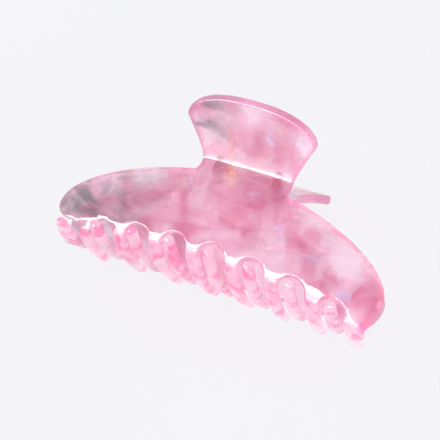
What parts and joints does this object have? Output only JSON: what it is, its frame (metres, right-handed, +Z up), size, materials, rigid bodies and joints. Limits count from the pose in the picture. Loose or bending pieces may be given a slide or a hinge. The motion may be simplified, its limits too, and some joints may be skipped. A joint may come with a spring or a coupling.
{
  "type": "claw hair clip",
  "caption": "Large claw hair clip: two bowed translucent jaws with interlocking teeth and flared finger handles, sprung shut about a hinge pin.",
  "frame": {"origin": "on the table, under the middle of the clip as it lies on its back", "axes": "+X along the hinge and the clip's length, +Y along the table from the teeth towards the handles, +Z up, from the back jaw to the front jaw"},
  "size_m": [0.104, 0.0572, 0.0546],
  "materials": {
    "back_jaw_plastic": "polished translucent pink plastic with pearly clouds",
    "front_jaw_plastic": "polished translucent pink plastic with pearly clouds",
    "pin_steel": "plain drawn steel",
    "spring_wire": "gold-coloured plated spring wire"
  },
  "bodies": {
    "back": {"back_jaw": "back_jaw_plastic", "hinge_pin": "pin_steel", "torsion_spring": "spring_wire"},
    "front": {"front_jaw": "front_jaw_plastic"}
  },
  "joints": [
    {"name": "jaw_hinge", "type": "hinge", "parent": "back", "child": "front", "pos_m": [0, 0.01036, 0.02536], "axis": [-1, 0, 0], "range_deg": [0, 80], "stiffness_Nm_per_rad": 0.12, "springref_deg": -57.3, "deforming": ["torsion_spring"]}
  ]
}
